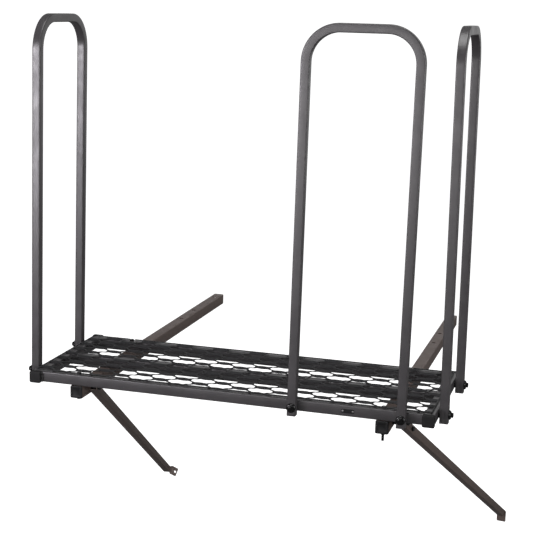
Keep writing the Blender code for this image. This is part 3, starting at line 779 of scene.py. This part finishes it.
def upright(word, across, outward, material):
    node = f"upright_{word}"
    low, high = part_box(node)
    bolts = [middle(f"upright_bolt_{word}_{number}") for number in (1, 2)]
    rail_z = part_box("front_rail")[1].z
    centre = (bolts[0] + bolts[1]) / 2
    face = -end_along(f"cup_washer_{word}_1", -outward) - GAP
    centre += outward * (face - UPRIGHT / 2 - centre.dot(outward))
    half = abs((bolts[1] - bolts[0]).dot(across)) / 2
    stops = upright_stops(low.z, high.z - UPRIGHT / 2, half, bolts[0].z, rail_z)
    matrices = []
    dents = []
    for distance, z, heading, dent in stops:
        angle = math.radians(heading)
        place = Vector((centre.x, centre.y, z)) + across * distance + UPRIGHT_LEANS[word] * max(z - rail_z, 0.0)
        matrices.append(axes_at(place, across * math.cos(angle) + Z_AXIS * math.sin(angle), outward))
        dents.append(dent * DENT_DEPTH)
    bm = bmesh.new()
    inside = UPRIGHT - 2 * UPRIGHT_WALL
    tube(bm, lambda i: dented(UPRIGHT, UPRIGHT_CORNER, dents[i]),
         lambda i: dented(inside, UPRIGHT_CORNER - UPRIGHT_WALL, dents[i]), matrices)
    return piece(f"{node}_detail", bm, material, FRAME_BODY, [node], 45)


def uprights(materials):
    plans = (("left", Y_AXIS, -X_AXIS), ("right", Y_AXIS, X_AXIS), ("front", X_AXIS, -Y_AXIS))
    for word, across, outward in plans:
        upright(word, across, outward, materials["graphite"])
        for number in (1, 2):
            leg = f"{word}_{number}"
            cup_washer(f"cup_washer_{leg}", -outward, materials["fastener"])
            bolt(f"upright_bolt_{leg}", -outward, materials["fastener"])
            hex_nut(f"upright_nut_{leg}", -outward, materials["fastener"])
            round_spacer(f"spacer_{leg}", -outward, materials["plastic"], 0.0110)


# ---------------------------------------------------------------- arms

def arm_plug(node, material):
    """A push-in plug: a soft-edged flange with a raised middle panel and ribs in the tube."""
    low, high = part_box(node)
    side = high.x - low.x
    front = Vector((middle(node).x, low.y, middle(node).z))
    profile = [(0.55, 0.0006), (0.60, 0.0), (0.88, 0.0), (0.945, 0.0003), (0.985, 0.0011), (1.0, 0.0022),
               (1.0, 0.0036), (0.985, 0.0040)]
    outline = rounded_square(side, 0.0038, 7)
    bm = bmesh.new()
    rings = [add_ring(bm, scaled(outline, size), axes_at(front + Y_AXIS * reach, Y_AXIS)) for size, reach in profile]
    shank = rounded_square(side - 2 * ARM_WALL - 0.0008, 0.0020, 7)
    for reach, size in ((0.0041, 0.97), (0.0055, 1.0), (0.0062, 0.97), (0.0080, 0.97), (0.0088, 1.0), (0.0095, 0.97),
                        (high.y - low.y, 0.93)):
        rings.append(add_ring(bm, scaled(shank, size), axes_at(front + Y_AXIS * reach, Y_AXIS)))
    skin(bm, rings)
    return piece(f"{node}_detail", bm, material, FRAME_BODY, [node], 50)


def arms(materials):
    for word, _ in SIDES:
        node = f"arm_{word}"
        item = straight_tube(node, Y_AXIS, ARM_WALL, ARM_CORNER, materials["bronze"], 6)
        low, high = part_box(node)
        x = (low.x + high.x) / 2
        holes = bmesh.new()
        for distance in ARM_HOLES_FROM_FRONT:
            rod(holes, (x, low.y + distance, low.z - 0.01), (x, low.y + distance, high.z + 0.01), ARM_HOLE_RADIUS)
        for end in ("front", "back"):
            y = middle(f"arm_bolt_{end}_{word}").y
            rod(holes, (x, y, low.z - 0.01), (x, y, high.z + 0.01), HOLE_RADIUS)
            bolt(f"arm_bolt_{end}_{word}", -Z_AXIS, materials["fastener"])
            hex_nut(f"arm_nut_{end}_{word}", -Z_AXIS, materials["fastener"])
        pivot = middle(f"pivot_bolt_{word}")
        rod(holes, (low.x - 0.01, pivot.y, pivot.z), (high.x + 0.01, pivot.y, pivot.z), HOLE_RADIUS)
        subtract(item, holes, 40)
        arm_plug(f"arm_cap_{word}", materials["plastic"])


# ---------------------------------------------------------------- braces

def brace_direction(side):
    level = math.cos(BRACE_SLOPE)
    splay = side * BRACE_SPLAY
    return Vector((level * math.sin(splay), level * math.cos(splay), -math.sin(BRACE_SLOPE)))


def brace_tube(pivot, along, foot_wall, foot_along, foot_length):
    """A hollow tube whose lower end carries one wall on as a bent tab, with the hole's place."""
    start = pivot + along * BRACE_START
    end = pivot + along * BRACE_END
    outer = rounded_square(BRACE, BRACE_CORNER, 5)
    inner = rounded_square(BRACE - 2 * BRACE_WALL, BRACE_CORNER - BRACE_WALL, 5)
    bm = bmesh.new()
    outside, inside = tube(bm, outer, inner, [axes_at(place, along, foot_wall) for place in (start, end)])
    ring = [outside[-1][-1], outside[-1][0], inside[-1][0], inside[-1][-1]]
    bm.faces.remove(next(face for face in bm.faces if set(face.verts) == set(ring)))
    wall = (foot_wall - along * foot_wall.dot(along)).normalized()
    side = along.cross(wall)
    place = end + wall * (BRACE - BRACE_WALL) / 2
    steps = [((step + 1) / FOOT_BEND_STEPS, FOOT_BEND / FOOT_BEND_STEPS) for step in range(FOOT_BEND_STEPS)]
    steps += [(1.0, foot_length - 0.003), (1.0, 0.002), (1.0, 0.001)]
    trims = [0.0] * (len(steps) - 2) + [0.0011, 0.0030]
    for (share, distance), trim in zip(steps, trims):
        heading = along.slerp(foot_along, share)
        place = place + heading * distance
        across = (side - heading * side.dot(heading)).normalized()
        outward = across.cross(heading) * (BRACE_WALL / 2)
        half = across * (FOOT_WIDTH / 2 * share + (BRACE / 2 - BRACE_CORNER) * (1 - share) - trim)
        new_ring = [bm.verts.new(place + corner)
                    for corner in (-half + outward, half + outward, half - outward, -half - outward)]
        bridge(bm, ring, new_ring)
        ring = new_ring
    bm.faces.new(ring)
    return bm, place - foot_along * FOOT_HOLE_INSET, outward.normalized()


def brace(word, side, pivot, foot_wall, foot_along, materials):
    along = brace_direction(side)
    bm, foot_hole, normal = brace_tube(pivot, along, foot_wall, foot_along, FOOT_LENGTHS[word])
    item = piece(f"brace_{word}_detail", bm, materials["bronze"], f"{word}_brace", [f"brace_{word}"],
                 28)
    holes = bmesh.new()
    rod(holes, pivot - X_AXIS * BRACE, pivot + X_AXIS * BRACE, HOLE_RADIUS)
    if side > 0:
        centre = pivot + along * CROSS_BOLT
        inward = -along.cross(Z_AXIS).normalized()
        rod(holes, centre - inward * BRACE, centre + inward * BRACE, HOLE_RADIUS)
        cross_bolt(centre, inward, materials)
    else:
        rod(holes, foot_hole - normal * 0.004, foot_hole + normal * 0.004, FOOT_HOLE_RADIUS)
        low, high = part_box(f"arm_{word}")
        room = Vector((NOTCH_ROOM, 0, NOTCH_ROOM))
        add_box(holes, low - room, Vector((high.x, low.y + NOTCH_REACH, high.z)) + room)
    subtract(item, holes, 28)
    return item


def cross_bolt(centre, inward, materials):
    """The bolt and nut through the right brace's two side walls."""
    face = centre - inward * (BRACE / 2 + GAP)
    reach = BRACE + 2 * GAP + NUT_HEIGHT + 0.0030
    bm = bmesh.new()
    bolt_head(bm, face, inward)
    turned(bm, [(THREAD_CREST, -0.0002), (THREAD_CREST, reach - 0.0140)], face, inward, loop=False, sides=24)
    thread(bm, face, inward, reach - 0.0145, reach)
    piece("cross_bolt_detail", bm, materials["fastener"], "right_brace", ["cross_bolt"])
    bm = bmesh.new()
    nut(bm, face + inward * (BRACE + 2 * GAP), inward)
    piece("cross_nut_detail", bm, materials["fastener"], "right_brace", ["cross_nut"])


def braces(materials):
    pivots = {}
    for joint in frame["joints"]:
        pivots[joint["child"]] = Vector(joint["pos_m"])
    left_side = brace_direction(-1).cross(Z_AXIS)
    brace("left", -1, pivots["left_brace"], left_side, LEFT_FOOT_ALONG, materials)
    brace("right", 1, pivots["right_brace"], Z_AXIS, -Z_AXIS, materials)
    for word, _ in SIDES:
        bolt(f"pivot_bolt_{word}", X_AXIS, materials["fastener"])
        hex_nut(f"pivot_nut_{word}", X_AXIS, materials["fastener"])
    round_spacer("pivot_spacer_right", X_AXIS, materials["plastic"], 0.0080)


# ---------------------------------------------------------------- label

def label(materials):
    """A blank plate with rounded ends, a thin raised border and two rivets."""
    low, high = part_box("label_plate")
    centre = (low + high) / 2
    face = Vector((centre.x, high.y, centre.z))
    wide = (high.x - low.x) / 2
    tall = (high.z - low.z) / 2

    def outline(inset):
        points = []
        radius = max(0.0004, LABEL_CORNER - inset)
        for quarter in range(4):
            sign_x = 1 if quarter in (0, 3) else -1
            sign_z = 1 if quarter in (0, 1) else -1
            for step in range(7):
                angle = (quarter + step / 6) * math.pi / 2
                points.append((sign_x * (wide - inset - radius) + radius * math.cos(angle),
                               sign_z * (tall - inset - radius) + radius * math.sin(angle)))
        return points

    bm = bmesh.new()
    rings = [add_ring(bm, outline(inset), axes_at(face - Y_AXIS * rise, -Y_AXIS, X_AXIS))
             for inset, rise in ((0, 0), (0, 0.0005), (0.0002, 0.0007), (0.0008, 0.0007), (0.0010, 0.0005))]
    skin(bm, rings)
    piece("label_plate_detail", bm, materials["plate"], FRAME_BODY, ["label_plate"], 40)
    bm = bmesh.new()
    for side in (-1, 1):
        place = face + X_AXIS * side * (wide - RIVET_INSET) - Y_AXIS * 0.0004
        turned(bm, [(0.0027, 0.0), (0.0027, 0.0003), (0.0021, 0.0008), (0.0010, 0.0011)], place, -Y_AXIS,
               loop=False, sides=20)
    piece("label_rivets_detail", bm, materials["rivet"], FRAME_BODY, (), 40)


# ---------------------------------------------------------------- floor, lights and camera

def stage_shape(name, bm, material):
    """A floor or backdrop that only the camera sees, so that it doesn't light the object."""
    mesh = bpy.data.meshes.new(name)
    bm.to_mesh(mesh)
    bm.free()
    mesh.materials.append(material)
    item = bpy.data.objects.new(name, mesh)
    bpy.context.scene.collection.objects.link(item)
    item.visible_diffuse = False
    item.visible_glossy = False
    item.visible_transmission = False
    item.visible_shadow = False


def white_studio():
    floor_z = CAD_BOX[0].z - FLOOR_DROP
    material, shader = node_material("studio_white", 0.9, specular=0.0)
    shader.inputs["Base Color"].default_value = (0.9, 0.9, 0.9, 1)
    shader.inputs["Emission Color"].default_value = (1, 1, 1, 1)
    shader.inputs["Emission Strength"].default_value = 1.0
    bm = bmesh.new()
    bmesh.ops.create_circle(bm, cap_ends=True, radius=STUDIO_RADIUS, segments=64)
    bmesh.ops.translate(bm, verts=bm.verts, vec=(0, 0, floor_z))
    stage_shape("studio_floor", bm, material)
    bm = bmesh.new()
    outline = circle(STUDIO_RADIUS, 64)
    rings = [add_ring(bm, outline, Matrix.Translation((0, 0, floor_z + height))) for height in (0, STUDIO_RADIUS)]
    bridge(bm, rings[0], rings[1])
    bm.faces.new(rings[1])
    stage_shape("studio_backdrop", bm, material)


def softbox(name, place, target, size, power, colour):
    data = bpy.data.lights.new(name, "AREA")
    data.shape = "RECTANGLE"
    data.size = size[0]
    data.size_y = size[1]
    data.energy = power
    data.color = colour
    light = bpy.data.objects.new(name, data)
    bpy.context.scene.collection.objects.link(light)
    light.location = place
    light.rotation_mode = "QUATERNION"
    light.rotation_quaternion = (Vector(target) - Vector(place)).to_track_quat("-Z", "Y")


def studio():
    world = bpy.data.worlds.new("studio_world")
    world.use_nodes = True
    background = world.node_tree.nodes["Background"]
    background.inputs["Color"].default_value = (1, 1, 1, 1)
    background.inputs["Strength"].default_value = AMBIENT
    bpy.context.scene.world = world
    bpy.context.scene.view_settings.view_transform = "Standard"
    for name, settings in SOFTBOXES.items():
        softbox(name, *settings)


def camera():
    data = bpy.data.cameras.new("photo_camera")
    data.sensor_width = 36.0
    data.lens = CAMERA_LENS
    data.clip_start = 0.05
    data.clip_end = 200.0
    item = bpy.data.objects.new("photo_camera", data)
    bpy.context.scene.collection.objects.link(item)
    forward = Vector((-math.sin(CAMERA_YAW) * math.cos(CAMERA_PITCH),
                      math.cos(CAMERA_YAW) * math.cos(CAMERA_PITCH), -math.sin(CAMERA_PITCH)))
    right = forward.cross(Z_AXIS).normalized()
    up = right.cross(forward)
    cos = math.cos(CAMERA_ROLL)
    sin = math.sin(CAMERA_ROLL)
    x_axis = right * cos + up * sin
    y_axis = up * cos - right * sin
    rows = [(x_axis[i], y_axis[i], -forward[i], CAMERA_PLACE[i]) for i in range(3)]
    item.matrix_world = Matrix(rows + [(0, 0, 0, 1)])
    bpy.context.scene.camera = item


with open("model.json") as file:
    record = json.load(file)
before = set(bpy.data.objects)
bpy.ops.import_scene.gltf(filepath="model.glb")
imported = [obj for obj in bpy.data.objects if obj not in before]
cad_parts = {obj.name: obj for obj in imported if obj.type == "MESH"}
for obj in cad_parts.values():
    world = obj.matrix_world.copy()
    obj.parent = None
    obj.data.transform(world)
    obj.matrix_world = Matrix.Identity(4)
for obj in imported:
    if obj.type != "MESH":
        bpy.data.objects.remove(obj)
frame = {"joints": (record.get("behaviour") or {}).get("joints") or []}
CAD_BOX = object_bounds()
MATERIALS = {
    "graphite": coated_steel("graphite_coat", (0.060, 0.056, 0.059), 0.34, specular=0.9),
    "bronze": coated_steel("bronze_coat", (0.140, 0.105, 0.093), 0.50),
    "mesh": coated_steel("mesh_coat", (0.024, 0.024, 0.026), 0.50, 0.15),
    "plastic": moulded_plastic("black_rubber", (0.011, 0.011, 0.0115), 0.55),
    "fastener": black_oxide("black_finish"),
    "plate": brushed_plate("blank_plate", (0.016, 0.016, 0.017), 0.3),
    "rivet": brushed_plate("bright_rivets", (0.42, 0.41, 0.41), 0.8),
}
deck_frame(MATERIALS)
expanded_metal(MATERIALS["mesh"])
uprights(MATERIALS)
arms(MATERIALS)
braces(MATERIALS)
label(MATERIALS)
white_studio()
studio()
camera()
